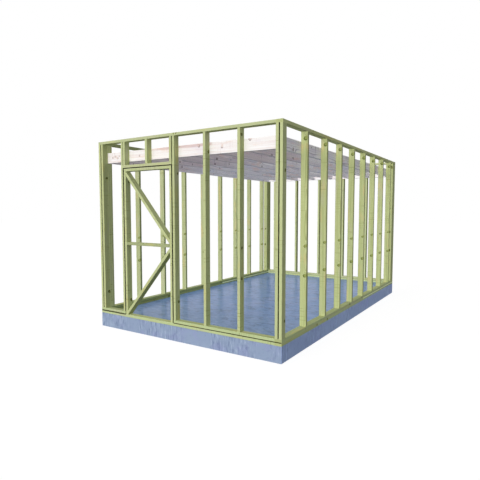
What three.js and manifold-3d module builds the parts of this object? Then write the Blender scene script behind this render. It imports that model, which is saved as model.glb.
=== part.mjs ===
// Timber building frame: a stud-walled shell of planed softwood on a concrete base slab,
// with a braced frame standing in its doorway and a level of ceiling joists inside.
//
// Millimetres, +Z up. The origin is the centre of the slab's underside. The front wall, with the
// doorway, faces -Y. Positions along a wall are measured from the slab's front left corner.

import * as THREE from 'three';
import Module from 'manifold-3d';
import * as BufferGeometryUtils from 'three/addons/utils/BufferGeometryUtils.js';

// Base slab
const baseWidth = 3000;
const baseDepth = 5000;
const slabThickness = 200;
const slabArris = 4;

// Wall timber
const frameHeight = 2500;      // underside of the sole plates to the top of the top plates
const studThickness = 38;
const studDepth = 89;
const arris = 3;               // radius of the planed timber's long edges
const arrisSteps = 3;
const seat = 0.3;              // clearance left between a piece and what it is nailed to
const fuse = 0.1;              // overlap of pieces that are joined into one solid
const weld = 1e-4;             // vertices nearer than this are one

// Front wall
const frontStudPitch = 500;    // set out from the right-hand wall towards the doorway
const doorPostX = 466;         // left face of the doorway's left post
const doorWidth = 907;         // clear width between the doorway's posts
const headClearance = 2065;    // top of the sole plate to the underside of the door header

// Braced frame in the doorway
const doorGap = 12;            // clearance at each side and above
const midRailHeight = 1011;    // foot of the frame to the middle of its middle rail

// Side walls
const sideStudCount = 8;       // in each wall, spaced evenly up to the last one
const sideLastBay = 168;       // clear length between the last stud and the back corner post
const leftFirstStud = 699;
const rightFirstStud = 650;    // the right wall's even spacing starts at its second stud
const rightSecondStud = 1276;

// Back wall
const backFirstStud = 232;
const backStudPitch = 560;
const backLastBay = 456;       // clear length between the last stud and the right wall

// Ceiling
const joistThickness = 47;
const joistDepth = 147;
const ceilingHeight = 2198;    // slab top to the underside of the joists
const joistPitch = 409;
const firstInnerJoist = 435;

// Levels
const slabTop = slabThickness;
const soleBottom = slabTop + seat;
const soleTop = soleBottom + studThickness;
const bottomPlateBottom = soleTop + seat;
const studBottom = bottomPlateBottom + studThickness + seat;
const frameTop = slabTop + frameHeight;
const topPlateBottom = frameTop - studThickness;
const studTop = topPlateBottom - seat;
const headerBottom = soleTop + headClearance;
const headerTop = headerBottom + studThickness;
const crippleBottom = headerTop + seat;
const joistBottom = slabTop + ceilingHeight;

// Wall planes
const innerLeft = studDepth;
const innerRight = baseWidth - studDepth;
const innerFront = studDepth;
const innerBack = baseDepth - studDepth;
const pairDepth = 2 * studThickness;
const backPostFront = innerBack - pairDepth;
const sideLastStud = backPostFront - sideLastBay - studThickness;
const backLastStud = innerRight - backLastBay - studThickness;

// Doorway
const doorLeft = doorPostX + studThickness;
const doorRight = doorLeft + doorWidth;
const leafLeft = doorLeft + doorGap;
const leafRight = doorRight - doorGap;

const greenTimber = new THREE.MeshStandardMaterial({ color: 0xc0c890, roughness: 0.75, metalness: 0 });
const whiteTimber = new THREE.MeshStandardMaterial({ color: 0xf0e6e0, roughness: 0.7, metalness: 0 });
const concrete = new THREE.MeshStandardMaterial({ color: 0x8e9dc0, roughness: 0.6, metalness: 0 });

const wasm = await Module();
wasm.setup();

function toManifold(geometry) {
  const bare = geometry.clone();
  bare.deleteAttribute('normal');
  bare.deleteAttribute('uv');
  const merged = BufferGeometryUtils.mergeVertices(bare, weld);
  const mesh = new wasm.Mesh({
    numProp: 3,
    vertProperties: new Float32Array(merged.attributes.position.array),
    triVerts: new Uint32Array(merged.index.array),
  });
  return new wasm.Manifold(mesh);
}

function toGeometry(solid) {
  const mesh = solid.getMesh();
  const geometry = new THREE.BufferGeometry();
  geometry.setAttribute('position', new THREE.BufferAttribute(new Float32Array(mesh.vertProperties), 3));
  geometry.setIndex(new THREE.BufferAttribute(new Uint32Array(mesh.triVerts), 1));
  geometry.computeVertexNormals();
  return geometry;
}

// A closed outline whose corners are rounded, apart from those marked sharp.
function easedOutline(corners, radius) {
  const shape = new THREE.Shape();
  const count = corners.length;
  corners.forEach((corner, i) => {
    const here = new THREE.Vector2(corner.x, corner.y);
    if (corner.sharp) {
      if (i === 0) shape.moveTo(here.x, here.y);
      else shape.lineTo(here.x, here.y);
      return;
    }
    const before = corners[(i + count - 1) % count];
    const after = corners[(i + 1) % count];
    const start = new THREE.Vector2(before.x, before.y).sub(here).setLength(radius).add(here);
    const end = new THREE.Vector2(after.x, after.y).sub(here).setLength(radius).add(here);
    if (i === 0) shape.moveTo(start.x, start.y);
    else shape.lineTo(start.x, start.y);
    shape.quadraticCurveTo(here.x, here.y, end.x, end.y);
  });
  shape.closePath();
  return shape;
}

function rectangleOutline(width, depth) {
  return easedOutline([
    { x: 0, y: 0 },
    { x: width, y: 0 },
    { x: width, y: depth },
    { x: 0, y: depth },
  ], arris);
}

// Planed timber from its lowest corner, lying along x, y or z.
function timberGeometry(size, along) {
  const axes = { x: ['y', 'z'], y: ['z', 'x'], z: ['x', 'y'] }[along];
  const outline = rectangleOutline(size[axes[0]], size[axes[1]]);
  const geometry = new THREE.ExtrudeGeometry(outline, {
    depth: size[along],
    bevelEnabled: false,
    curveSegments: arrisSteps,
  });
  const basis = {
    x: [new THREE.Vector3(0, 1, 0), new THREE.Vector3(0, 0, 1), new THREE.Vector3(1, 0, 0)],
    y: [new THREE.Vector3(0, 0, 1), new THREE.Vector3(1, 0, 0), new THREE.Vector3(0, 1, 0)],
    z: [new THREE.Vector3(1, 0, 0), new THREE.Vector3(0, 1, 0), new THREE.Vector3(0, 0, 1)],
  }[along];
  geometry.applyMatrix4(new THREE.Matrix4().makeBasis(...basis));
  return geometry;
}

function named(name, geometry, material, x = 0, y = 0, z = 0) {
  const mesh = new THREE.Mesh(geometry, material);
  mesh.name = name;
  mesh.position.set(x, y, z);
  return mesh;
}

function sizeBetween(from, to) {
  return { x: to[0] - from[0], y: to[1] - from[1], z: to[2] - from[2] };
}

// A timber that fills the box between two opposite corners.
function timber(name, from, to, along, material = greenTimber) {
  return named(name, timberGeometry(sizeBetween(from, to), along), material, ...from);
}

// A wall stud: lengthwise in the wall it is one thickness, across it the full wall depth.
function frontStud(name, x, wallFront, bottom = studBottom, top = studTop) {
  return timber(name, [x, wallFront, bottom], [x + studThickness, wallFront + studDepth, top], 'z');
}

function sideStud(name, wallLeft, y) {
  return timber(name, [wallLeft, y, studBottom], [wallLeft + studDepth, y + studThickness, studTop], 'z');
}

function baseSlab() {
  const outline = new THREE.Shape();
  const inset = slabArris;
  outline.moveTo(inset, inset);
  outline.lineTo(baseWidth - inset, inset);
  outline.lineTo(baseWidth - inset, baseDepth - inset);
  outline.lineTo(inset, baseDepth - inset);
  outline.closePath();
  const geometry = new THREE.ExtrudeGeometry(outline, {
    depth: slabThickness - 2 * slabArris,
    bevelThickness: slabArris,
    bevelSize: slabArris,
    bevelSegments: arrisSteps,
  });
  geometry.translate(0, 0, slabArris);
  return named('base_slab', geometry, concrete);
}

// The four plates of one course. Each butts against the side of the next, a joint's width away.
function courseCorners(bottom, top, joint = seat) {
  return {
    front: [[0, 0, bottom], [innerRight - joint, studDepth, top], 'x'],
    right: [[innerRight, 0, bottom], [baseWidth, innerBack - joint, top], 'y'],
    back: [[innerLeft + joint, innerBack, bottom], [baseWidth, baseDepth, top], 'x'],
    left: [[0, innerFront + joint, bottom], [studDepth, baseDepth, top], 'y'],
  };
}

function topPlates() {
  const course = courseCorners(topPlateBottom, frameTop);
  return Object.keys(course).map((side) => timber('top_plate_' + side, ...course[side]));
}

// The sole plates are one ring, with a groove at each butt joint.
function solePlate() {
  const course = courseCorners(soleBottom, soleTop, -fuse);
  const plates = Object.values(course).map(([from, to, along]) => {
    const geometry = timberGeometry(sizeBetween(from, to), along);
    return toManifold(geometry.translate(...from));
  });
  const ring = plates.reduce((joined, plate) => joined.add(plate));
  return named('sole_plate', toGeometry(ring), greenTimber);
}

function bottomPlates() {
  const course = courseCorners(bottomPlateBottom, bottomPlateBottom + studThickness);
  const [frontFrom, frontTo] = course.front;
  return [
    timber('bottom_plate_front_left', frontFrom, [doorLeft, frontTo[1], frontTo[2]], 'x'),
    timber('bottom_plate_front_right', [doorRight, frontFrom[1], frontFrom[2]], frontTo, 'x'),
    timber('bottom_plate_right', ...course.right),
    timber('bottom_plate_back', ...course.back),
    timber('bottom_plate_left', ...course.left),
  ];
}

// The left door post and the short stud nailed to its face, which stands on the header.
function leftDoorPost() {
  const full = timberGeometry({ x: studThickness, y: studDepth, z: studTop - studBottom }, 'z');
  const short = timberGeometry({ x: studThickness + fuse, y: studDepth, z: studTop - crippleBottom }, 'z');
  short.translate(studThickness - fuse, 0, crippleBottom - studBottom);
  const post = toManifold(full).add(toManifold(short));
  return named('door_post_left', toGeometry(post), greenTimber, doorPostX, 0, studBottom);
}

function doorway() {
  const middle = (doorLeft + leafRight - studThickness) / 2;
  return [
    leftDoorPost(),
    frontStud('door_post_right', doorRight, 0),
    timber('door_header', [doorLeft + seat, 0, headerBottom], [leafRight, studDepth, headerTop], 'x'),
    frontStud('header_stud_middle', middle, 0, crippleBottom),
    frontStud('header_stud_right', leafRight - studThickness, 0, crippleBottom),
  ];
}

// A brace between two uprights. Its upper edge starts at the corner high, its lower edge ends at the
// corner low, and both ends are cut plumb against the uprights.
function brace(name, high, low) {
  const run = low.x - high.x;
  const drop = high.z - low.z;
  const reach = Math.hypot(run, drop);
  // The slope at which a timber of one thickness just reaches both corners.
  const slope = Math.atan2(drop, Math.abs(run)) - Math.asin(studThickness / reach);
  const stock = timberGeometry({ x: 2 * reach, y: studDepth, z: studThickness }, 'x');
  stock.translate(-reach, 0, -studThickness);
  stock.rotateY(Math.sign(run) * slope);
  stock.translate(high.x, 0, high.z);
  const bay = new THREE.BoxGeometry(Math.abs(run), 2 * studDepth, 2 * reach);
  bay.translate((high.x + low.x) / 2, studDepth / 2, (high.z + low.z) / 2);
  const cut = toManifold(stock).intersect(toManifold(bay));
  return named(name, toGeometry(cut), greenTimber);
}

function bracedFrame() {
  const foot = soleTop + seat;
  const top = headerBottom - doorGap;
  const stileTop = top - studThickness - seat;
  const railBottom = foot + midRailHeight - studThickness / 2;
  const railTop = railBottom + studThickness;
  const insideLeft = leafLeft + studThickness;
  const insideRight = leafRight - studThickness;
  return [
    frontStud('frame_stile_left', leafLeft, 0, foot, stileTop),
    frontStud('frame_stile_right', insideRight, 0, foot, stileTop),
    timber('frame_top_rail', [leafLeft, 0, top - studThickness], [leafRight, studDepth, top], 'x'),
    timber('frame_middle_rail', [insideLeft + seat, 0, railBottom],
      [insideRight - seat, studDepth, railTop], 'x'),
    brace('frame_brace_upper',
      { x: insideLeft + seat, z: stileTop - seat }, { x: insideRight - seat, z: railTop + seat }),
    brace('frame_brace_lower',
      { x: insideRight - seat, z: railBottom - seat }, { x: insideLeft + seat, z: foot + seat }),
  ];
}

function frontWall() {
  const places = [];
  for (let x = innerRight - frontStudPitch; x > doorRight + studThickness; x -= frontStudPitch) {
    places.unshift(x);
  }
  return [
    ...places.map((x, i) => frontStud('front_stud_' + (i + 1), x, 0)),
    frontStud('front_corner_stud_inner', innerRight, 0),
    frontStud('front_corner_stud_outer', baseWidth - studThickness, 0),
  ];
}

// A built-up corner post: a pair of studs closing the side wall, and behind them two studs turned
// across it with a gap between. A small groove shows where each stud meets the next.
function cornerPostGeometry() {
  const width = studDepth;
  const pair = pairDepth;
  const depth = pair + studDepth;
  const groove = (x, inward, y) => [
    { x, y: y - arris * Math.sign(inward), sharp: true },
    { x: x - arris * Math.sign(inward), y, sharp: true },
    { x, y: y + arris * Math.sign(inward), sharp: true },
  ];
  const outline = easedOutline([
    { x: 0, y: 0 },
    { x: width, y: 0 },
    ...groove(width, 1, studThickness),
    ...groove(width, 1, pair),
    { x: width, y: depth },
    { x: width - studThickness, y: depth },
    { x: width - studThickness, y: pair, sharp: true },
    { x: studThickness, y: pair, sharp: true },
    { x: studThickness, y: depth },
    { x: 0, y: depth },
    ...groove(0, -1, pair),
    ...groove(0, -1, studThickness),
  ], arris);
  return new THREE.ExtrudeGeometry(outline, {
    depth: studTop - studBottom,
    bevelEnabled: false,
    curveSegments: arrisSteps,
  });
}

function cornerPosts() {
  const frontLeft = named('corner_post_front_left', cornerPostGeometry(), greenTimber,
    studDepth, innerFront + pairDepth, studBottom);
  frontLeft.rotation.z = Math.PI;
  return [
    frontLeft,
    named('corner_post_back_left', cornerPostGeometry(), greenTimber, 0, backPostFront, studBottom),
    named('corner_post_back_right', cornerPostGeometry(), greenTimber, innerRight, backPostFront, studBottom),
  ];
}

// Places from the first to the last, evenly spaced.
function spaced(first, last, count) {
  return Array.from({ length: count }, (_, i) => first + (last - first) * i / (count - 1));
}

function sideWalls() {
  const left = spaced(leftFirstStud, sideLastStud, sideStudCount);
  const right = [rightFirstStud, ...spaced(rightSecondStud, sideLastStud, sideStudCount - 1)];
  return [
    ...left.map((y, i) => sideStud('left_stud_' + (i + 1), 0, y)),
    ...right.map((y, i) => sideStud('right_stud_' + (i + 1), innerRight, y)),
  ];
}

// Places at one pitch, as far as a piece of the given width stays clear of the end.
function setOut(first, pitch, width, end) {
  const places = [];
  for (let place = first; place + width < end; place += pitch) places.push(place);
  return places;
}

function backWall() {
  const places = [...setOut(backFirstStud, backStudPitch, studThickness, backLastStud), backLastStud];
  return places.map((x, i) => frontStud('back_stud_' + (i + 1), x, innerBack));
}

function joist(name, x) {
  const from = [x, innerFront + 2 * seat + joistThickness, joistBottom];
  const to = [x + joistThickness, innerBack - 2 * seat - joistThickness, joistBottom + joistDepth];
  return timber(name, from, to, 'y', whiteTimber);
}

function rim(name, y) {
  return timber(name, [innerLeft + seat, y, joistBottom],
    [innerRight - seat, y + joistThickness, joistBottom + joistDepth], 'x', whiteTimber);
}

function ceiling() {
  const leftmost = innerLeft + seat;
  const rightmost = innerRight - seat - joistThickness;
  const inner = setOut(firstInnerJoist, joistPitch, joistThickness, rightmost);
  return [
    rim('rim_joist_front', innerFront + seat),
    rim('rim_joist_back', innerBack - seat - joistThickness),
    ...[leftmost, ...inner, rightmost].map((x, i) => joist('ceiling_joist_' + (i + 1), x)),
  ];
}

const building = new THREE.Group();
building.name = 'timber_building_frame';
building.position.set(-baseWidth / 2, -baseDepth / 2, 0);
building.add(
  baseSlab(),
  solePlate(),
  ...bottomPlates(),
  ...cornerPosts(),
  ...frontWall(),
  ...doorway(),
  ...bracedFrame(),
  ...sideWalls(),
  ...backWall(),
  ...topPlates(),
  ...ceiling(),
);

const root = new THREE.Group();
root.add(building);

export default root;
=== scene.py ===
# Timber building frame: the finish of its concrete, its green framing timber and its white joists.
# Metres, +Z up, front wall towards -Y.

import math
import random

import bmesh
import bpy
from mathutils import Matrix, Vector


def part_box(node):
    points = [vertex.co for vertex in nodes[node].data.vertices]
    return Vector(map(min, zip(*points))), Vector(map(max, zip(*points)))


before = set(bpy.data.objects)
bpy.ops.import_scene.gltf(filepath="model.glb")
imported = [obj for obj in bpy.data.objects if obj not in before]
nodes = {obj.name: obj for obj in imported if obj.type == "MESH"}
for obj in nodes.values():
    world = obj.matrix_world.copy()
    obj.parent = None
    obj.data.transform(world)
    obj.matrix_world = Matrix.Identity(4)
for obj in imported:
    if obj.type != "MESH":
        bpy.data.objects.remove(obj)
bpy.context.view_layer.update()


# ---------------------------------------------------------------------------------------------
# Base slab. Concrete cast against boards standing on end, which left faint upright streaks on its
# four sides. The top was power floated, so it is smooth, a little wavy and slightly glossy.
# ---------------------------------------------------------------------------------------------

def colour(red, green, blue):
    """A colour given as 0 to 255 screen values, as the linear values that a shader takes."""
    parts = [value / 255 for value in (red, green, blue)]
    return [part / 12.92 if part <= 0.04045 else ((part + 0.055) / 1.055) ** 2.4 for part in parts] + [1.0]


def add(tree, kind, inputs=None, **options):
    """Adds a shader node, sets its options, and gives its inputs values or links."""
    made = tree.nodes.new(kind)
    for option, value in options.items():
        setattr(made, option, value)
    for socket, value in (inputs or {}).items():
        if isinstance(value, bpy.types.NodeSocket):
            tree.links.new(value, made.inputs[socket])
        else:
            made.inputs[socket].default_value = value
    return made


def calc(tree, operation, *values, clamp=False):
    """A Math node on numbers or sockets."""
    inputs = dict(enumerate(values))
    return add(tree, "ShaderNodeMath", inputs, operation=operation, use_clamp=clamp).outputs[0]


def vector_calc(tree, operation, *values, result="Vector"):
    """A Vector Math node on vectors or sockets."""
    inputs = dict(enumerate(values))
    return add(tree, "ShaderNodeVectorMath", inputs, operation=operation).outputs[result]


def fade(tree, value, low, high):
    """0 below low, 1 above high, and a smooth step between. It falls instead where low is above high."""
    inputs = {"Value": value, "From Min": low, "From Max": high}
    return add(tree, "ShaderNodeMapRange", inputs, interpolation_type="SMOOTHSTEP").outputs["Result"]


def blend_colours(tree, amount, below, above, how="MIX"):
    """Lays one colour over another by an amount from 0 to 1."""
    inputs = {0: amount, 6: below, 7: above}
    return add(tree, "ShaderNodeMix", inputs, data_type="RGBA", blend_type=how).outputs[2]


def stain(tree, below, above, mask, strength):
    """Lays a colour over another where a mask is 1, as strongly as given."""
    return blend_colours(tree, calc(tree, "MULTIPLY", mask, strength), below, above)


def noise(tree, place, stretch, detail=2.0, roughness=0.5):
    """Noise from 0 to 1 with its own number of waves per metre along x, y and z."""
    scaled = add(tree, "ShaderNodeMapping", {"Vector": place, "Scale": stretch}).outputs[0]
    inputs = {"Vector": scaled, "Scale": 1.0, "Detail": detail, "Roughness": roughness}
    return add(tree, "ShaderNodeTexNoise", inputs).outputs[0]


def new_material(name):
    """An empty material with its shader, its output and the object's own coordinates."""
    material = bpy.data.materials.new(name)
    material.use_nodes = True
    tree = material.node_tree
    tree.nodes.clear()
    shader = add(tree, "ShaderNodeBsdfPrincipled")
    add(tree, "ShaderNodeOutputMaterial", {"Surface": shader.outputs[0]})
    place = add(tree, "ShaderNodeTexCoord").outputs["Object"]
    return material, tree, shader, place


def dress(node, material):
    """Puts a material on a piece of the frame."""
    for place in nodes[node].material_slots:
        place.material = material


slab_right, _, slab_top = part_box("base_slab")[1]
concrete_face = colour(148, 165, 194)
concrete_dark = colour(112, 128, 164)
concrete_pale = colour(176, 194, 216)
concrete_lilac = colour(148, 160, 197)
painted_light_right_side = (1.25, 1.3, 1.43, 1.0)
concrete_top = colour(119, 150, 200)
concrete_top_pale = colour(133, 156, 204)
concrete_top_grey = colour(120, 146, 186)
concrete_top_dark = colour(92, 112, 142)
concrete_top_bright = colour(150, 172, 213)
greying_from, greying_fully = -0.8, -2.2
slab, tree, shader, place = new_material("concrete")
across, along, height = add(tree, "ShaderNodeSeparateXYZ", {0: place}).outputs
on_top = fade(tree, height, slab_top - 0.0008, slab_top - 0.0002)
clouds = noise(tree, place, (1.7, 1.7, 2.5), detail=4.0)
tint = noise(tree, place, (4.2, 4.2, 4.2), detail=3.0)
mottle = noise(tree, place, (20, 20, 20), detail=5.0, roughness=0.65)
speckle = noise(tree, place, (110, 110, 110), detail=2.0)

# The sides: upright marks of the boards, in clusters. The right-hand side gets painted light: it is made
# paler and bluer.
board_marks = noise(tree, place, (36, 36, 7), detail=4.0, roughness=0.65)
rough_boards = fade(tree, noise(tree, place, (2.1, 2.1, 0.8), detail=2.0), 0.42, 0.56)
dark_marks = calc(tree, "MULTIPLY", fade(tree, board_marks, 0.52, 0.64), rough_boards)
pale_marks = calc(tree, "MULTIPLY", fade(tree, board_marks, 0.46, 0.36), rough_boards)
side = blend_colours(tree, fade(tree, tint, 0.5, 0.7), concrete_face, concrete_lilac)
side = stain(tree, side, concrete_pale, fade(tree, clouds, 0.5, 0.8), 0.5)
side = stain(tree, side, concrete_dark, dark_marks, 0.7)
side = stain(tree, side, concrete_pale, pale_marks, 0.7)
side = stain(tree, side, concrete_dark, fade(tree, mottle, 0.52, 0.72), 0.35)
side = stain(tree, side, concrete_pale, fade(tree, speckle, 0.6, 0.75), 0.3)
# Painted light: the right-hand side of the slab is made paler and bluer than the other sides.
to_the_right = fade(tree, across, slab_right - 0.008, slab_right - 0.002)
side = blend_colours(tree, to_the_right, side, painted_light_right_side, how="MULTIPLY")

# The top: soft clouds, greyer towards the front wall, and marks of the float.
ripple = noise(tree, place, (8, 14, 3), detail=4.0, roughness=0.65)
greyer_to_front = fade(tree, along, greying_from, greying_fully)
swirl = calc(tree, "ABSOLUTE", calc(tree, "SUBTRACT", noise(tree, place, (3.2, 4.4, 3), detail=3.0), 0.5))
swirled = fade(tree, noise(tree, place, (1.3, 1.3, 1.3), detail=1.0), 0.45, 0.6)
float_marks = calc(tree, "MULTIPLY", fade(tree, swirl, 0.016, 0.004), swirled)
top = blend_colours(tree, fade(tree, tint, 0.4, 0.75), concrete_top, concrete_top_pale)
top = stain(tree, top, concrete_top_grey, greyer_to_front, 0.8)
top = stain(tree, top, concrete_top_dark, fade(tree, ripple, 0.5, 0.66), 0.5)
top = stain(tree, top, concrete_top_bright, fade(tree, ripple, 0.44, 0.34), 0.4)
top = stain(tree, top, concrete_top_dark, float_marks, 0.6)
face = blend_colours(tree, on_top, side, top)
tree.links.new(face, shader.inputs["Base Color"])
shader.inputs["Specular IOR Level"].default_value = 0.04
as_cast = calc(tree, "MULTIPLY_ADD", mottle, 0.14, 0.44)
as_floated = calc(tree, "MULTIPLY_ADD", clouds, 0.1, 0.18)
rough = add(tree, "ShaderNodeMix", {0: on_top, 2: as_cast, 3: as_floated}).outputs[0]
tree.links.new(rough, shader.inputs["Roughness"])
trowelled = noise(tree, place, (2.2, 3.2, 4), detail=1.0, roughness=0.4)
pitted = calc(tree, "MULTIPLY_ADD", dark_marks, -0.1, calc(tree, "MULTIPLY", speckle, 0.05))
relief = add(tree, "ShaderNodeMix", {0: on_top, 2: pitted, 3: trowelled}).outputs[0]
bump = add(tree, "ShaderNodeBump", {"Strength": 1.0, "Distance": 0.012, "Height": relief})
tree.links.new(bump.outputs[0], shader.inputs["Normal"])
dress("base_slab", slab)


# ---------------------------------------------------------------------------------------------
# Sole plates. Four lengths of planed softwood, 38 by 89 mm, laid flat round the edge of the slab and
# butted at the corners. Like all the wall timber they are pressure treated, which turned them green.
# ---------------------------------------------------------------------------------------------

def shader_group(name, inputs, outputs):
    """A new group of shader nodes with named inputs and outputs."""
    group = bpy.data.node_groups.new(name, "ShaderNodeTree")
    for label, kind, value in inputs:
        socket = group.interface.new_socket(label, in_out="INPUT", socket_type="NodeSocket" + kind)
        socket.default_value = value
    for label, kind in outputs:
        group.interface.new_socket(label, in_out="OUTPUT", socket_type="NodeSocket" + kind)
    return group, add(group, "NodeGroupInput").outputs, add(group, "NodeGroupOutput").inputs


def give(tree, outputs, **sockets):
    """Links a group's results to its outputs."""
    for label, socket in sockets.items():
        tree.links.new(socket, outputs[label])


def outside_box(tree, point, middle, half_size):
    """How far a point lies outside a box, and less than 0 inside it."""
    beyond = vector_calc(tree, "ABSOLUTE", vector_calc(tree, "SUBTRACT", point, middle))
    beyond = vector_calc(tree, "SUBTRACT", beyond, half_size)
    parts = add(tree, "ShaderNodeSeparateXYZ", {0: beyond}).outputs
    return calc(tree, "MAXIMUM", calc(tree, "MAXIMUM", parts[0], parts[1]), parts[2])


def in_the_board(tree, point, middle, turn):
    """A point given in a board's own directions, from the board's middle."""
    inputs = {"Vector": point, "Location": middle, "Rotation": turn}
    return add(tree, "ShaderNodeMapping", inputs, vector_type="TEXTURE").outputs[0]


# Picks out one board of a piece made of several: a point inside the board's box is given in the
# board's own directions, with x through its thickness, y across its width and z along it.
board_group, given, result = shader_group(
    "board of a joined piece",
    [("Point", "Vector", (0, 0, 0)), ("Middle", "Vector", (0, 0, 0)), ("Half Size", "Vector", (1, 1, 1)),
     ("Turn", "Vector", (0, 0, 0)), ("Pith", "Vector", (0, 0, 0)),
     ("Other Position", "Vector", (0, 0, 0)), ("Other Pith", "Vector", (0, 0, 0))],
    [("Position", "Vector"), ("Pith", "Vector")])
tree = board_group
outside = outside_box(tree, given["Point"], given["Middle"], given["Half Size"])
inside = calc(tree, "LESS_THAN", outside, 0.0005)
own = in_the_board(tree, given["Point"], given["Middle"], given["Turn"])
position = add(tree, "ShaderNodeMix", {0: inside, 4: given["Other Position"], 5: own}, data_type="VECTOR")
pith = add(tree, "ShaderNodeMix", {0: inside, 4: given["Other Pith"], 5: given["Pith"]}, data_type="VECTOR")
give(tree, result, Position=position.outputs[1], Pith=pith.outputs[1])

# A knot: a branch cut through at a slant, so that it runs out to one side as a tail, and its dark ring of
# bark shows most on the other side. Across is 1 in the two directions that the knot is measured in, and
# Lean points to its tail. It adds itself to the knots before it.
knot_group, given, result = shader_group(
    "knot",
    [("Point", "Vector", (0, 0, 0)), ("Place", "Vector", (0, 0, 0)), ("Across", "Vector", (0, 1, 1)),
     ("Lean", "Vector", (0, 0, 0)), ("Radius", "Float", 0.01),
     ("Heart", "Float", 0.0), ("Rim", "Float", 0.0), ("Swell", "Float", 0.0)],
    [("Heart", "Float"), ("Rim", "Float"), ("Swell", "Float")])
tree = knot_group
offset = vector_calc(tree, "SUBTRACT", given["Point"], given["Place"])
flat = vector_calc(tree, "MULTIPLY", offset, given["Across"])
uneven = calc(tree, "SUBTRACT", noise(tree, offset, (55, 55, 55), detail=2.0), 0.5)
radii = calc(tree, "DIVIDE", vector_calc(tree, "LENGTH", flat, result="Value"), given["Radius"])
radii = calc(tree, "MULTIPLY_ADD", uneven, 0.7, radii)
out = vector_calc(tree, "DOT_PRODUCT", flat, given["Lean"], result="Value")
out = calc(tree, "DIVIDE", out, given["Radius"])
radii = calc(tree, "MULTIPLY_ADD", calc(tree, "MAXIMUM", out, 0.0), -0.5, radii)
heart = calc(tree, "MAXIMUM", given["Heart"], fade(tree, radii, 1.05, 0.7))
band = calc(tree, "MULTIPLY", fade(tree, radii, 0.4, 0.65), fade(tree, radii, 1.25, 1.0))
band = calc(tree, "MULTIPLY", band, fade(tree, out, 0.7, -0.2))
rim = calc(tree, "MAXIMUM", given["Rim"], band)
bulge = calc(tree, "DIVIDE", given["Radius"], calc(tree, "MULTIPLY_ADD", radii, radii, 1.0))
swell = calc(tree, "ADD", given["Swell"], bulge)
give(tree, result, Heart=heart, Rim=rim, Swell=swell)

# The shade in a joint or a narrow gap: 1 inside a box of the frame, added to the boxes before it.
shade_group, given, result = shader_group(
    "shade in a joint",
    [("Point", "Vector", (0, 0, 0)), ("Middle", "Vector", (0, 0, 0)), ("Half Size", "Vector", (1, 1, 1)),
     ("Shade", "Float", 0.0)],
    [("Shade", "Float")])
tree = shade_group
outside = outside_box(tree, given["Point"], given["Middle"], given["Half Size"])
give(tree, result, Shade=calc(tree, "MAXIMUM", given["Shade"], fade(tree, outside, 0.0015, 0.0005)))

# Planed softwood: growth rings round a pith that lies off to one side, soft streaks along the grain,
# fibres, knots, warmer and greyer patches, fine marks of the planer across the grain, paler eased
# edges with a painted highlight along them, and darker sawn ends. The faces that look one given way get
# painted shade: they are darkened by a tint.
softwood_group, given, result = shader_group(
    "planed softwood",
    [("Position", "Vector", (0, 0, 0)), ("Pith", "Vector", (0.05, 0.03, 0)), ("Thickness", "Float", 0.038),
     ("Width", "Float", 0.089), ("Half Length", "Float", 1.0), ("Ring Width", "Float", 0.004),
     ("Heart", "Float", 0.0), ("Rim", "Float", 0.0), ("Swell", "Float", 0.0), ("Shade", "Float", 0.0),
     ("Early Wood", "Color", (1, 1, 1, 1)), ("Late Wood", "Color", (0, 0, 0, 1)),
     ("Streak", "Color", (0, 0, 0, 1)), ("Edge", "Color", (1, 1, 1, 1)),
     ("Warm Patch", "Color", (1, 1, 1, 1)), ("Grey Patch", "Color", (1, 1, 1, 1)),
     ("Knot", "Color", (0, 0, 0, 1)), ("Knot Rim", "Color", (0, 0, 0, 1)),
     ("Sawn End", "Color", (0, 0, 0, 1)), ("In Shade", "Color", (0, 0, 0, 1)),
     ("Painted Shade Side", "Vector", (0, 0, -1)), ("Painted Shade Tint", "Color", (0.6, 0.62, 0.5, 1))],
    [("Color", "Color"), ("Roughness", "Float"), ("Height", "Float")])
tree = softwood_group
from_pith = vector_calc(tree, "SUBTRACT", given["Position"], given["Pith"])
across = vector_calc(tree, "MULTIPLY", from_pith, (1.0, 1.0, 0.0))
wander = calc(tree, "SUBTRACT", noise(tree, from_pith, (4, 4, 0.9), detail=2.0), 0.5)
distance = calc(tree, "MULTIPLY_ADD", wander, 0.03, vector_calc(tree, "LENGTH", across, result="Value"))
distance = calc(tree, "ADD", distance, given["Swell"])
ring = calc(tree, "DIVIDE", distance, given["Ring Width"])
along_ring = calc(tree, "FRACT", ring)
late = calc(tree, "MULTIPLY", fade(tree, along_ring, 0.35, 0.85), fade(tree, along_ring, 1.0, 0.9))
ring_number = calc(tree, "FLOOR", ring)
year = add(tree, "ShaderNodeTexWhiteNoise", {"W": ring_number}, noise_dimensions="1D").outputs[0]
late = calc(tree, "MULTIPLY", late, calc(tree, "MULTIPLY_ADD", year, 0.6, 0.3))
streak = noise(tree, from_pith, (42, 42, 1.1), detail=4.0, roughness=0.6)
fibre = noise(tree, from_pith, (900, 900, 14), detail=2.0)
wood = blend_colours(tree, fade(tree, streak, 0.4, 0.72), given["Early Wood"], given["Streak"])
wood = blend_colours(tree, late, wood, given["Late Wood"])
sizes = add(tree, "ShaderNodeSeparateXYZ", {0: vector_calc(tree, "ABSOLUTE", given["Position"])}).outputs
in_from_face = calc(tree, "SUBTRACT", calc(tree, "MULTIPLY", given["Thickness"], 0.5), sizes[0])
in_from_edge = calc(tree, "SUBTRACT", calc(tree, "MULTIPLY", given["Width"], 0.5), sizes[1])
in_from_end = calc(tree, "SUBTRACT", given["Half Length"], sizes[2])
# The narrow faces take the Edge colour; where it runs a little way on to the wide faces it is a painted
# highlight.
on_edge = fade(tree, in_from_edge, 0.006, 0.001)
wood = stain(tree, wood, given["Edge"], on_edge, 0.7)
warm = fade(tree, noise(tree, from_pith, (14, 14, 3.0), detail=3.0), 0.55, 0.72)
wood = stain(tree, wood, given["Warm Patch"], warm, 0.65)
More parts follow.
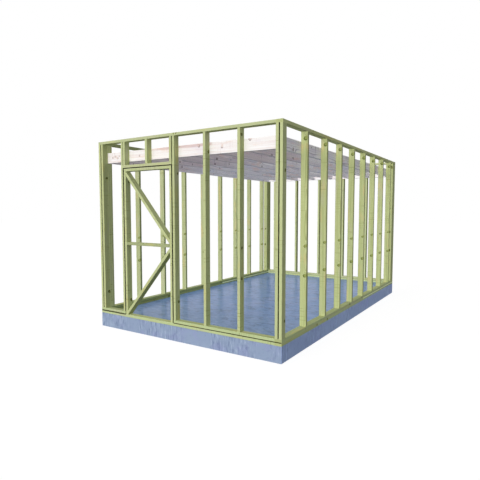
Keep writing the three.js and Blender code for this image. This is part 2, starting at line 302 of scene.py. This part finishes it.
grey = fade(tree, noise(tree, from_pith, (9, 9, 2.1), detail=2.0, roughness=0.4), 0.58, 0.7)
wood = stain(tree, wood, given["Grey Patch"], grey, 0.5)
dash = fade(tree, noise(tree, from_pith, (170, 170, 9), detail=3.0, roughness=0.7), 0.58, 0.72)
wood = stain(tree, wood, given["Late Wood"], dash, 0.45)
planer = fade(tree, noise(tree, from_pith, (2, 2, 62), detail=1.0), 0.56, 0.7)
dull_knife = fade(tree, noise(tree, from_pith, (3, 3, 3.5), detail=1.0), 0.5, 0.6)
wood = stain(tree, wood, given["Late Wood"], calc(tree, "MULTIPLY", planer, dull_knife), 0.75)
# A painted highlight along the eased edges, where two faces meet.
near_edge, near_face = [fade(tree, inwards, 0.007, 0.002) for inwards in (in_from_edge, in_from_face)]
wood = stain(tree, wood, given["Edge"], calc(tree, "MULTIPLY", near_edge, near_face), 0.5)
wood = stain(tree, wood, given["Knot"], given["Heart"], 0.9)
wood = stain(tree, wood, given["Knot Rim"], given["Rim"], 0.9)
wood = stain(tree, wood, given["Sawn End"], fade(tree, in_from_end, 0.0015, 0.0005), 0.6)
# Painted shade: faces that look the given way are darkened by a tint.
facing = add(tree, "ShaderNodeNewGeometry").outputs["True Normal"]
turned = vector_calc(tree, "DOT_PRODUCT", facing, given["Painted Shade Side"], result="Value")
wood = blend_colours(tree, fade(tree, turned, 0.45, 0.75), wood, given["Painted Shade Tint"], how="MULTIPLY")
wood = stain(tree, wood, given["In Shade"], given["Shade"], 0.95)
tone = add(tree, "ShaderNodeTexWhiteNoise", {"Vector": given["Pith"]}, noise_dimensions="3D").outputs[0]
lines = calc(tree, "MULTIPLY_ADD", fibre, 0.12, calc(tree, "MULTIPLY_ADD", tone, 0.07, 0.905))
lined = add(tree, "ShaderNodeVectorMath", {0: wood, "Scale": lines}, operation="SCALE").outputs["Vector"]
rough = calc(tree, "MULTIPLY_ADD", fibre, 0.2, 0.6)
rough = calc(tree, "MULTIPLY_ADD", given["Heart"], -0.15, rough)
ridge = calc(tree, "MULTIPLY_ADD", late, 0.5, calc(tree, "MULTIPLY", fibre, 0.4))
ridge = calc(tree, "MULTIPLY_ADD", given["Heart"], 0.6, ridge)
ridge = calc(tree, "MULTIPLY_ADD", given["Rim"], -0.8, ridge)
give(tree, result, Color=lined, Roughness=rough, Height=ridge)

green_timber = {
    "Early Wood": colour(196, 204, 152),
    "Late Wood": colour(156, 164, 106),
    "Streak": colour(180, 190, 131),
    "Edge": colour(198, 207, 156),
    "Warm Patch": colour(202, 196, 128),
    "Grey Patch": colour(194, 194, 163),
    "Knot": colour(152, 156, 92),
    "Knot Rim": colour(100, 102, 40),
    "Sawn End": colour(182, 190, 130),
    "In Shade": colour(34, 34, 8),
}
white_timber = {
    "Early Wood": colour(255, 254, 255),
    "Late Wood": colour(228, 214, 214),
    "Streak": colour(244, 233, 232),
    "Edge": colour(255, 252, 252),
    "Warm Patch": colour(241, 212, 195),
    "Grey Patch": colour(232, 222, 232),
    "Knot": colour(232, 216, 210),
    "Knot Rim": colour(150, 132, 136),
    "Sawn End": colour(238, 228, 220),
    "In Shade": colour(96, 90, 96),
    # The tint of painted shade on the undersides.
    "Painted Shade Tint": (0.62, 0.6, 0.63, 1),
}

# How a board lies: the frame's directions of its thickness, its width and its length.
lying = {
    "stands across x": Matrix(((1, 0, 0), (0, 1, 0), (0, 0, 1))).transposed(),
    "stands across y": Matrix(((0, 1, 0), (-1, 0, 0), (0, 0, 1))).transposed(),
    "lies along x": Matrix(((0, 0, 1), (0, -1, 0), (1, 0, 0))).transposed(),
    "lies along y": Matrix(((0, 0, 1), (1, 0, 0), (0, 1, 0))).transposed(),
    "on edge along x": Matrix(((0, 1, 0), (0, 0, 1), (1, 0, 0))).transposed(),
    "on edge along y": Matrix(((-1, 0, 0), (0, 0, 1), (0, 1, 0))).transposed(),
}
growth = random.Random(7)


def a_pith():
    """Where the heart of the tree lies from the board's middle, and how far along the log it was cut."""
    angle = growth.uniform(0, 2 * math.pi)
    away = growth.uniform(0.045, 0.11)
    return (away * math.cos(angle), away * math.sin(angle), growth.uniform(-40, 40))


def a_lean(across):
    """Where the tail of a knot points: any way in the two directions that the knot is measured in."""
    angle = growth.uniform(0, 2 * math.pi)
    first, second = [Vector(unit) for unit, used in zip(((1, 0, 0), (0, 1, 0), (0, 0, 1)), across) if used]
    return math.cos(angle) * first + math.sin(angle) * second


def knots_beside(*spots):
    """Knots that run from side to side, each at a place from front to back, a height and a radius."""
    return [(Vector((0, y, z)), "x", radius) for y, z, radius in spots]


def give_group(tree, group, settings):
    """Adds a group of shader nodes, and gives its inputs values or links."""
    return add(tree, "ShaderNodeGroup", settings, node_tree=group).outputs


def finish_timber(piece, boards, knots=(), joints=(), wood=green_timber, in_long_wall=False,
                  ring_width=0.0042, gloss=0.04):
    """Gives a piece its timber. Boards says how the piece lies, or lists the boards that it is made of,
    each with its box (low, high) and how it lies. Each knot is a place, the direction that it runs in, a
    radius and where its tail points. Each joint is a box (low, high) that lies in shade. It returns what
    a further finish needs: the nodes, the shader, the coordinates and the colour."""
    if isinstance(boards, str):
        boards = [(*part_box(piece), boards)]
    material, tree, shader, point = new_material("timber " + piece.replace("_", " "))
    finish = {"Pith": a_pith(), "Ring Width": ring_width}
    # Painted shade: in the long walls, the faces that look into the building and the undersides are
    # darkened.
    if in_long_wall:
        to_the_right = calc(tree, "SIGN", add(tree, "ShaderNodeSeparateXYZ", {0: point}).outputs[0])
        inwards = {"X": calc(tree, "MULTIPLY", to_the_right, -1.0), "Z": -1.0}
        finish["Painted Shade Side"] = add(tree, "ShaderNodeCombineXYZ", inwards).outputs[0]
    for i, (low, high, way) in enumerate(boards):
        middle, half, turn = (low + high) / 2, (high - low) / 2, lying[way].to_euler()
        if i == 0:
            finish["Position"] = in_the_board(tree, point, middle, turn)
            thinnest, wide, longest = sorted(half)
            continue
        board = give_group(tree, board_group, {
            "Point": point, "Middle": middle, "Half Size": half, "Turn": turn, "Pith": a_pith(),
            "Other Position": finish["Position"], "Other Pith": finish["Pith"]})
        finish["Position"], finish["Pith"] = board["Position"], board["Pith"]
    finish.update({"Thickness": 2 * thinnest, "Width": 2 * wide, "Half Length": longest, **wood})
    marks = {}
    for place, through, radius, *lean in knots:
        across = [float(direction != through) for direction in "xyz"]
        tail = lean[0] if lean else a_lean(across)
        knot = give_group(tree, knot_group, {
            "Point": point, "Place": place, "Across": across, "Lean": tail, "Radius": radius, **marks})
        marks = {label: knot[label] for label in ("Heart", "Rim", "Swell")}
    finish.update(marks)
    shade = {}
    for low, high in joints:
        box = {"Point": point, "Middle": (low + high) / 2, "Half Size": (high - low) / 2, **shade}
        shade = {"Shade": give_group(tree, shade_group, box)["Shade"]}
    finish.update(shade)
    surface = give_group(tree, softwood_group, finish)
    tree.links.new(surface["Color"], shader.inputs["Base Color"])
    tree.links.new(surface["Roughness"], shader.inputs["Roughness"])
    shader.inputs["Specular IOR Level"].default_value = gloss
    bump = add(tree, "ShaderNodeBump", {"Strength": 0.3, "Distance": 0.0008, "Height": surface["Height"]})
    tree.links.new(bump.outputs[0], shader.inputs["Normal"])
    dress(piece, material)
    return tree, shader, point, surface["Color"]


stud_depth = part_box("top_plate_front")[1].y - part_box("top_plate_front")[0].y
sole_low, sole_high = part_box("sole_plate")
inner_low = sole_low + Vector((stud_depth, stud_depth, 0))
inner_high = sole_high - Vector((stud_depth, stud_depth, 0))

# Painted shade along the line between the sole plates and the bottom plates, which stops at the doorway. It
# is widest to the left of the doorway, where the joint gapes a little, thin where the joint is tight along
# the left and back walls, and left out where it is closed along the front of the right-hand wall.
eased_edge = 0.003
sapwood_from = 0.47
wide_joint_shade, joint_shade, tight = 0.008, 0.0045, 0.001
doorway_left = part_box("bottom_plate_front_left")[1].x
doorway_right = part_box("bottom_plate_front_right")[0].x
plate_joint = [
    (Vector((*start, sole_high.z - shade)), Vector((*end, sole_high.z + shade)))
    for start, end, shade in (
        (sole_low.xy, (doorway_left, inner_low.y), wide_joint_shade),
        ((doorway_right, sole_low.y), (sole_high.x - eased_edge, inner_low.y), joint_shade),
        ((sole_low.x, inner_low.y), (inner_low.x, sole_high.y), tight),
        ((inner_low.x, inner_high.y), (sole_high.x - eased_edge, sole_high.y), tight),
        ((inner_high.x, sapwood_from), sole_high.xy, tight),
    )]
plate_timber = {**green_timber, "Edge": colour(198, 213, 160)}
under, over = sole_low.z, sole_high.z
sole_boards = [
    (sole_low, Vector((inner_high.x, inner_low.y, over)), "lies along x"),
    (Vector((inner_high.x, sole_low.y, under)), Vector((sole_high.x, inner_high.y, over)), "lies along y"),
    (Vector((inner_low.x, inner_high.y, under)), sole_high, "lies along x"),
    (Vector((sole_low.x, inner_low.y, under)), Vector((inner_low.x, sole_high.y, over)), "lies along y"),
]
sole_knots = knots_beside(*[(y, over - 0.014, 0.016) for y in (-1.5, -1.14, 0.9)])
tree, shader, point, bare = finish_timber("sole_plate", sole_boards, sole_knots, plate_joint, plate_timber,
                                          in_long_wall=True)

# Towards the back, the sole plates of the side walls were cut from the outside of the log, and have a strip
# of bare sapwood along the upper edge of the face that looks to the right.
sapwood = colour(244, 255, 206)
strip_foot, strip_full, strip_start, skin = 0.018, 0.015, 0.02, 0.002
across, along, height = add(tree, "ShaderNodeSeparateXYZ", {0: point}).outputs
strip = fade(tree, height, over - strip_foot, over - strip_full)
strip = calc(tree, "MULTIPLY", strip, fade(tree, along, sapwood_from, sapwood_from + strip_start))
right_face = fade(tree, across, sole_high.x - 2 * skin, sole_high.x - skin)
off_left_face = calc(tree, "ABSOLUTE", calc(tree, "SUBTRACT", across, inner_low.x))
before_corner = fade(tree, along, inner_high.y + tight, inner_high.y)
left_face = calc(tree, "MULTIPLY", fade(tree, off_left_face, 2 * skin, skin), before_corner)
strip = calc(tree, "MULTIPLY", strip, calc(tree, "ADD", right_face, left_face))
tree.links.new(blend_colours(tree, strip, bare, sapwood), shader.inputs["Base Color"])


# ---------------------------------------------------------------------------------------------
# Bottom plates. The lowest timber of each wall panel, nailed down on the sole plates. The front one is
# in two lengths, because the doorway is cut out of it.
# ---------------------------------------------------------------------------------------------

trodden_wood = {**plate_timber, "Early Wood": colour(179, 189, 141), "Streak": colour(166, 177, 122)}
dulled_wood = {**trodden_wood, "Edge": colour(190, 196, 150)}
for name, wood in (("front_left", trodden_wood), ("front_right", trodden_wood), ("back", dulled_wood)):
    finish_timber("bottom_plate_" + name, "lies along x", joints=plate_joint, wood=wood)
for name in ("left", "right"):
    piece = "bottom_plate_" + name
    low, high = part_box(piece)
    half_way_up = (low.z + high.z) / 2
    knots = knots_beside((-0.2, half_way_up, 0.018), (0.42, half_way_up, 0.014))
    finish_timber(piece, "lies along y", knots, plate_joint, trodden_wood, in_long_wall=True)


# ---------------------------------------------------------------------------------------------
# Built-up corner posts. Four studs nailed together: a pair that closes the side wall, and behind them
# two studs turned across it with a gap between, to nail the lining to.
# ---------------------------------------------------------------------------------------------

stud_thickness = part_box("top_plate_front")[1].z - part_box("top_plate_front")[0].z


def knots_up(low, high, spots, through, beside=0.0):
    """Knots in an upright piece, each at a height above the ground and with a radius, all beside its middle
    line by a distance."""
    middle = (low + high) / 2
    knots = []
    for up, radius in spots:
        place = middle.copy()
        place.z = up + growth.uniform(-0.006, 0.006)
        place["yx".index(through)] += beside + growth.uniform(-0.004, 0.004)
        knots.append((place, through, radius * growth.uniform(0.92, 1.08)))
    return knots


dead_knots = {**green_timber, "Knot": colour(112, 116, 54), "Knot Rim": colour(70, 74, 26)}
# Painted shade: a darker colour for the narrow faces of some studs and posts.
painted_shade_edge = colour(150, 156, 112)
dead_knots_shaded_edge = {**dead_knots, "Edge": painted_shade_edge}
# The front-left post: brighter wood, with a lighter tint of painted shade.
deep_green = {**dead_knots, "Early Wood": colour(208, 216, 159), "Streak": colour(194, 204, 141),
              "Edge": colour(196, 205, 152), "Painted Shade Tint": (0.82, 0.82, 0.79, 1)}
corner_posts = (
    ("front_left", 1, ((-2.434, 2.183, 0.015), (-2.437, 0.514, 0.018)), deep_green),
    ("back_left", -1, ((2.593, 0.0215), (1.279, 0.0145), (0.909, 0.018)), dead_knots),
    ("back_right", -1, ((2.593, 0.0215), (1.279, 0.019), (0.909, 0.023)), dead_knots_shaded_edge),
)
for name, closed_end, spots, wood in corner_posts:
    piece = "corner_post_" + name
    low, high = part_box(piece)
    start = low.y if closed_end < 0 else high.y
    step = -closed_end * stud_thickness
    cuts = [start, start + step, start + 2 * step, high.y if closed_end < 0 else low.y]
    spans = [sorted(pair) for pair in zip(cuts, cuts[1:])]
    boards = [
        (Vector((low.x, a, low.z)), Vector((high.x, b, high.z)), "stands across y") for a, b in spans[:2]]
    a, b = spans[2]
    gap_left, gap_right = low.x + stud_thickness, high.x - stud_thickness
    for left, right in ((low.x, gap_left), (gap_right, high.x)):
        boards.append((Vector((left, a, low.z)), Vector((right, b, high.z)), "stands across x"))
    gap = (Vector((gap_left, a, low.z)), Vector((gap_right, b, high.z)))
    knots = knots_beside(*spots) if closed_end > 0 else knots_up(low, high, spots, "y")
    finish_timber(piece, boards, knots, [gap], wood, in_long_wall=True)


# ---------------------------------------------------------------------------------------------
# Front wall studs. Two common studs at 500 mm from the right-hand wall, and a pair at the right corner
# with a gap between. They stand with their narrow edge to the front.
# ---------------------------------------------------------------------------------------------

inner_stud, outer_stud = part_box("front_corner_stud_inner"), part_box("front_corner_stud_outer")
corner_gap = (Vector((inner_stud[1].x, *inner_stud[0].yz)), Vector((outer_stud[0].x, *outer_stud[1].yz)))
front_studs = {
    "front_stud_1": [(-2.436, 2.425, 0.017)],
    "front_stud_2": [(-2.464, 2.586, 0.016), (-2.456, 1.276, 0.014), (-2.46, 0.91, 0.016)],
    "front_corner_stud_inner": [(-2.45, 2.19, 0.016), (-2.44, 0.5, 0.016)],
    "front_corner_stud_outer": [(-2.436, 2.153, 0.015), (-2.428, 0.474, 0.016)],
}
for piece, spots in front_studs.items():
    finish_timber(piece, "stands across x", knots_beside(*spots), [corner_gap], dead_knots)


# ---------------------------------------------------------------------------------------------
# Doorway. A post at each side, a header between them, and short studs from the header up to the top
# plate. One short stud is nailed to the face of the left post.
# ---------------------------------------------------------------------------------------------

header_low, header_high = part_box("door_header")
stile_left, stile_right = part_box("frame_stile_left"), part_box("frame_stile_right")
rail_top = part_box("frame_top_rail")[1].z
post_left, post_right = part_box("door_post_left"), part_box("door_post_right")
seam, post_face = post_left[0].x + stud_thickness, post_right[0].x

# The shade in the gaps beside and above the braced frame reaches a little way on to the edges of the posts
# and the stiles.
onto_post, onto_edge = 0.004, 0.0025
door_gaps = [
    (Vector((seam - onto_post, *stile_left[0].yz)),
     Vector((stile_left[0].x + onto_edge, post_left[1].y, header_low.z))),
    (Vector((stile_right[1].x - onto_edge, *stile_right[0].yz)),
     Vector((post_face + onto_edge, post_right[1].y, header_low.z))),
    (Vector((seam, header_low.y, rail_top)), Vector((post_face, header_high.y, header_low.z))),
]
# Painted shade along the joint of the left post with its short stud, and along the joint of the right post
# with the short studs above the header.
nailed_joint = (Vector((seam - eased_edge, post_left[0].y, header_high.z)),
                Vector((seam + eased_edge, *post_left[1].yz)))
post_joint_shade = (Vector((post_face - joint_shade, post_right[0].y, header_high.z)),
                Vector((post_face + joint_shade, *post_right[1].yz)))
left_boards = [
    (post_left[0], Vector((seam, *post_left[1].yz)), "stands across x"),
    (Vector((seam, post_left[0].y, header_high.z)), post_left[1], "stands across x"),
]
left_knots = knots_beside((-2.444, 2.129, 0.016), (-2.44, 0.7, 0.016))
right_knots = knots_beside((-2.43, 2.187, 0.015), (-2.433, 0.514, 0.015))
finish_timber("door_post_left", left_boards, left_knots, [*door_gaps, nailed_joint], dead_knots)
finish_timber("door_post_right", "stands across x", right_knots, [*door_gaps, post_joint_shade], dead_knots)
finish_timber("door_header", "lies along x", joints=door_gaps,
              wood={**green_timber, "Edge": colour(193, 198, 156)})
finish_timber("header_stud_middle", "stands across x", joints=[post_joint_shade])
finish_timber("header_stud_right", "stands across x", joints=[post_joint_shade])


# ---------------------------------------------------------------------------------------------
# Braced frame in the doorway. Two stiles, a top rail and a middle rail, with two braces that run from
# the left corners to the right end of the middle rail, cut plumb where they meet the stiles.
# ---------------------------------------------------------------------------------------------

stile_knots = {"left": [(-2.439, 2.115, 0.016), (-2.435, 0.443, 0.018)], "right": [(-2.45, 1.63, 0.015)]}
for name, spots in stile_knots.items():
    finish_timber("frame_stile_" + name, "stands across x", knots_beside(*spots), door_gaps, dead_knots)
finish_timber("frame_top_rail", "lies along x", joints=door_gaps)
finish_timber("frame_middle_rail", "lies along x", wood={**green_timber, "Edge": colour(156, 166, 126)})

# A brace fills its box from corner to corner, so its slope is that of the diagonal, less what its own
# thickness takes.
for piece, downhill in (("frame_brace_upper", 1), ("frame_brace_lower", -1)):
    low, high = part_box(piece)
    size = high - low
    reach = math.hypot(size.x, size.z)
    slope = math.atan2(size.z, size.x) - math.asin(stud_thickness / reach)
    turn = Matrix.Rotation(downhill * slope, 3, "Y")
    lying[piece] = turn @ lying["lies along x"]
    middle = (low + high) / 2
    half = Vector((reach / 2, stud_depth / 2, stud_thickness / 2))
    finish_timber(piece, [(middle - half, middle + half, piece)])


# ---------------------------------------------------------------------------------------------
# Side wall studs. Eight in each long wall, standing with their narrow edge to the outside, so that
# the wide faces with the knots look to the front and the back.
# ---------------------------------------------------------------------------------------------

side_stud_knots = ((2.584, 0.0215), (1.279, 0.0145), (0.909, 0.018))
short_tail, tail_to_the_right = Vector((0.6, 0, 0.6)), Vector((1.2, 0, 0.5))
tails = (short_tail, tail_to_the_right, tail_to_the_right)
off_middle = 0.018
live_knots = {**green_timber, "Knot": colour(146, 156, 84), "Knot Rim": colour(80, 94, 32),
              "Warm Patch": colour(212, 194, 138)}
left_wood = {**live_knots, "Early Wood": colour(193, 201, 158), "Streak": colour(178, 188, 137)}
# The right-hand studs' narrow faces get the darker colour of painted shade.
right_wood = {**live_knots, "Early Wood": colour(200, 208, 153), "Edge": painted_shade_edge}
for side, wood in (("left", left_wood), ("right", right_wood)):
    for number in range(1, 9):
        piece = f"{side}_stud_{number}"
        spots = knots_up(*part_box(piece), side_stud_knots, "y", off_middle)
        knots = [(*knot, tail) for knot, tail in zip(spots, tails)]
        finish_timber(piece, "stands across y", knots, wood=wood, in_long_wall=True)


# ---------------------------------------------------------------------------------------------
# Back wall studs. Five between the corner posts, nailed on edge like those of the front wall. Their colour
# is darker than the other studs', as painted shade, and their faces to the right get more painted shade.
# ---------------------------------------------------------------------------------------------

back_stud_knots = ((2.19, 0.02), (1.22, 0.02), (0.5, 0.02))
to_the_back = 0.01
# Painted shade: a darker copy of the green timber, darker still on the faces to the right.
shaded_back_timber = {**green_timber, "Early Wood": colour(172, 180, 126), "Streak": colour(156, 165, 106),
               "Edge": colour(208, 216, 166),
               "Painted Shade Side": (1, 0, 0), "Painted Shade Tint": (0.76, 0.78, 0.7, 1)}
for number in range(1, 6):
    piece = f"back_stud_{number}"
    knots = knots_up(*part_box(piece), back_stud_knots, "x", to_the_back)
    finish_timber(piece, "stands across x", knots, wood=shaded_back_timber)


# ---------------------------------------------------------------------------------------------
# Top plates. One length along the head of each wall, nailed down into the studs, each butting against
# the side of the next at the corners.
# ---------------------------------------------------------------------------------------------

plate_wood = {**green_timber, "Edge": colour(190, 198, 156), "Warm Patch": colour(198, 200, 142)}
# The right-hand top plate gets less painted shade on its faces that look into the building and down, and
# paler edges.
lightly_shaded_wood = {**green_timber, "Edge": colour(205, 212, 152), "Painted Shade Tint": (0.84, 0.85, 0.86, 1)}
top_plates = (
    ("front", "x", (-0.06, -0.02), plate_wood),
    ("right", "y", (-1.7, 0.55, 1.9), lightly_shaded_wood),
    ("back", "x", (-0.8, 0.3), plate_wood),
    ("left", "y", (-1.2, 0.8), plate_wood),
)
above_middle, small_knot = Vector((0, 0, 0.008)), 0.009
for side, way, spots, wood in top_plates:
    piece = "top_plate_" + side
    low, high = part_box(piece)
    knots = []
    for along in spots:
        place = (low + high) / 2 + above_middle
        place["xy".index(way)] = along
        knots.append((place, "y" if way == "x" else "x", small_knot))
    finish_timber(piece, "lies along " + way, knots, wood=wood, in_long_wall=way == "y")


# ---------------------------------------------------------------------------------------------
# Ceiling joists and rim joists. Untreated whitewood, 47 by 147 mm, on edge. The rims are nailed to the
# front and back walls, and the joists run between them. All joists but the last are darker and warmer
# towards the front.
# ---------------------------------------------------------------------------------------------

shaded_white = {
    "Early Wood": colour(255, 253, 255),
    "Late Wood": colour(162, 154, 170),
    "Streak": colour(238, 231, 243),
    "Edge": colour(255, 252, 255),
    "Warm Patch": colour(238, 212, 208),
    "Grey Patch": colour(214, 220, 240),
    "Knot": colour(160, 146, 148),
    "Knot Rim": colour(96, 86, 90),
    "Sawn End": colour(236, 228, 228),
    "In Shade": colour(96, 90, 96),
    # The tint of painted shade on the undersides.
    "Painted Shade Tint": (0.9, 0.88, 0.9, 1),
}
white_ring_width, white_gloss = 0.006, 0.5
rim_knots = [
    (Vector((x, 0, z)), "y", radius, Vector((tail_x, 0, tail_z)))
    for x, z, radius, tail_x, tail_z in (
        (0.282, 2.515, 0.018, -0.5, 0.9),
        (0.634, 2.474, 0.015, 0.2, 1.2),
        (-1.298, 2.472, 0.013, 1.2, 0.5),
        (-1.247, 2.486, 0.012, 1.3, -0.4),
        (-1.2, 2.46, 0.013, -1.2, 0.4),
        (-1.166, 2.488, 0.009, 1.2, 0),
        (-0.758, 2.466, 0.012, 0.9, 0),
        (1.029, 2.534, 0.019, 0.5, 1.0),
    )]

# A wavy band of pinker heartwood lies along the upper edge of the rims, in the middle of their length.
heartwood = (0.84, 0.73, 0.72, 1)
band_starts, band_stops = (-0.65, -0.25), (0.5, 0.46)
band_foot, band_full, band_wave = 0.024, 0.012, 0.03
for side in ("front", "back"):
    piece = "rim_joist_" + side
    top_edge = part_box(piece)[1].z
    tree, shader, point, bare = finish_timber(piece, "on edge along x", rim_knots, wood=white_timber,
                                              ring_width=white_ring_width, gloss=white_gloss)
    along, _, up = add(tree, "ShaderNodeSeparateXYZ", {0: point}).outputs
    up = calc(tree, "MULTIPLY_ADD", noise(tree, point, (5, 5, 20), detail=3.0), band_wave, up)
    band = fade(tree, up, top_edge - band_foot, top_edge - band_full)
    band = calc(tree, "MULTIPLY", band, fade(tree, along, *band_starts))
    band = calc(tree, "MULTIPLY", band, fade(tree, along, *band_stops))
    tree.links.new(blend_colours(tree, band, bare, heartwood, how="MULTIPLY"), shader.inputs["Base Color"])

joists, joist_knots = 8, 8
front_tint = (0.85, 0.78, 0.79, 1)
front_tint_from, front_tint_to = -0.5, -1.5
seen_knots = {
    2: [(-1.22, 2.428, 0.014)],
    3: [(-1.742, 2.435, 0.012)],
    4: [(-1.418, 2.411, 0.014), (-1.046, 2.445, 0.01)],
    5: [(-1.93, 2.407, 0.016), (-0.716, 2.41, 0.012)],
    7: [(-1.88, 2.409, 0.014), (-1.281, 2.433, 0.014)],
    8: [(-2.07, 2.42, 0.014)],
}
for number in range(1, joists + 1):
    piece = f"ceiling_joist_{number}"
    low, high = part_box(piece)
    middle = (low + high) / 2
    knots = knots_beside(*seen_knots.get(number, []))
    for i in range(joist_knots):
        along = low.y + (i + growth.uniform(0.2, 0.8)) / joist_knots * (high.y - low.y)
        up = middle.z + growth.uniform(-0.06, 0.06)
        knots += knots_beside((along, up, growth.uniform(0.006, 0.011)))
    tree, shader, point, bare = finish_timber(piece, "on edge along y", knots, wood=shaded_white,
                                              ring_width=white_ring_width, gloss=white_gloss)
    if number < joists:
        along = add(tree, "ShaderNodeSeparateXYZ", {0: point}).outputs[1]
        tinted_to_front = fade(tree, along, front_tint_from, front_tint_to)
        face = blend_colours(tree, tinted_to_front, bare, front_tint, how="MULTIPLY")
        tree.links.new(face, shader.inputs["Base Color"])


# ---------------------------------------------------------------------------------------------
# Studio floor. A plain pale floor under the slab. To the camera it is nearly white, and it keeps a
# faint shadow of the frame.
# ---------------------------------------------------------------------------------------------

floor_half = 60.0
floor_grey, floor_white, floor_glow = 0.15, 0.8, 1.08
floor_mesh = bpy.data.meshes.new("floor")
shape = bmesh.new()
bmesh.ops.create_grid(shape, x_segments=1, y_segments=1, size=floor_half)
shape.to_mesh(floor_mesh)
shape.free()
floor = bpy.data.objects.new("floor", floor_mesh)
bpy.context.scene.collection.objects.link(floor)


def seen_directly(tree):
    """1 where the camera, a reflection or a view through glass looks, and 0 for light on the object."""
    path = add(tree, "ShaderNodeLightPath").outputs
    seen = calc(tree, "MAXIMUM", path["Is Camera Ray"], path["Is Glossy Ray"])
    return calc(tree, "MAXIMUM", seen, path["Is Transmission Ray"])


material = bpy.data.materials.new("floor")
material.use_nodes = True
tree = material.node_tree
tree.nodes.clear()
seen = seen_directly(tree)
paint = blend_colours(tree, seen, (floor_grey, floor_grey, floor_grey, 1), (1, 1, 1, 1))
matt = add(tree, "ShaderNodeBsdfDiffuse", {"Color": paint}).outputs[0]
bright = add(tree, "ShaderNodeEmission", {"Color": (1, 1, 1, 1), "Strength": floor_glow}).outputs[0]
mixed = add(tree, "ShaderNodeMixShader", {0: calc(tree, "MULTIPLY", seen, floor_white), 1: matt, 2: bright})
add(tree, "ShaderNodeOutputMaterial", {"Surface": mixed.outputs[0]})
floor_mesh.materials.append(material)


# ---------------------------------------------------------------------------------------------
# Light. Soft lamps from the front left, weak ones from the right, from behind and from the ground, and an
# even pale sky, so that the faces to the front are bright and the others are in shade.
# ---------------------------------------------------------------------------------------------

lamp_softness = 40
lamps = (
    ("key", 0.17, (1.02, 1.0, 0.97), 20, 32, True),
    ("fill", 0.70, (1.02, 1.0, 0.97), 14, 25, False),
    ("side", 0.12, (0.97, 0.99, 1.04), -75, 0, False),
    ("back", 0.3, (0.99, 1.0, 1.02), 180, 0, False),
    ("bounce", 0.04, (1.0, 0.99, 1.02), 0, -90, False),
)
for name, brightness, tint, from_left, above, shadows in lamps:
    light = bpy.data.lights.new(name, "SUN")
    light.energy = brightness * math.pi
    light.color = tint
    light.angle = math.radians(lamp_softness)
    light.use_shadow = shadows
    lamp = bpy.data.objects.new(name, light)
    lamp.rotation_euler = (math.radians(90 - above), 0, -math.radians(from_left))
    lamp.visible_glossy = name != "back"
    bpy.context.scene.collection.objects.link(lamp)

world = bpy.data.worlds.new("sky")
bpy.context.scene.world = world
world.use_nodes = True
tree = world.node_tree
tree.nodes.clear()
sky = add(tree, "ShaderNodeBackground", {"Color": (0.97, 0.985, 1.04, 1), "Strength": 0.32}).outputs[0]
white = add(tree, "ShaderNodeBackground", {"Color": (1, 1, 1, 1), "Strength": 1.0}).outputs[0]
mixed = add(tree, "ShaderNodeMixShader", {0: seen_directly(tree), 1: sky, 2: white})
add(tree, "ShaderNodeOutputWorld", {"Surface": mixed.outputs[0]})


# ---------------------------------------------------------------------------------------------
# Camera. At standing eye height off the front right corner, looking across the frame.
# ---------------------------------------------------------------------------------------------

looks_down, looks_left = 3.906, 32.961
camera_data = bpy.data.cameras.new("camera")
camera_data.sensor_width = 36.0
camera_data.lens = 32.107
camera = bpy.data.objects.new("camera", camera_data)
camera.location = (3.651, -6.6663, 1.7093)
camera.rotation_euler = (math.radians(90 - looks_down), 0, math.radians(looks_left))
bpy.context.scene.collection.objects.link(camera)
bpy.context.scene.camera = camera
bpy.context.scene.view_settings.view_transform = "Standard"
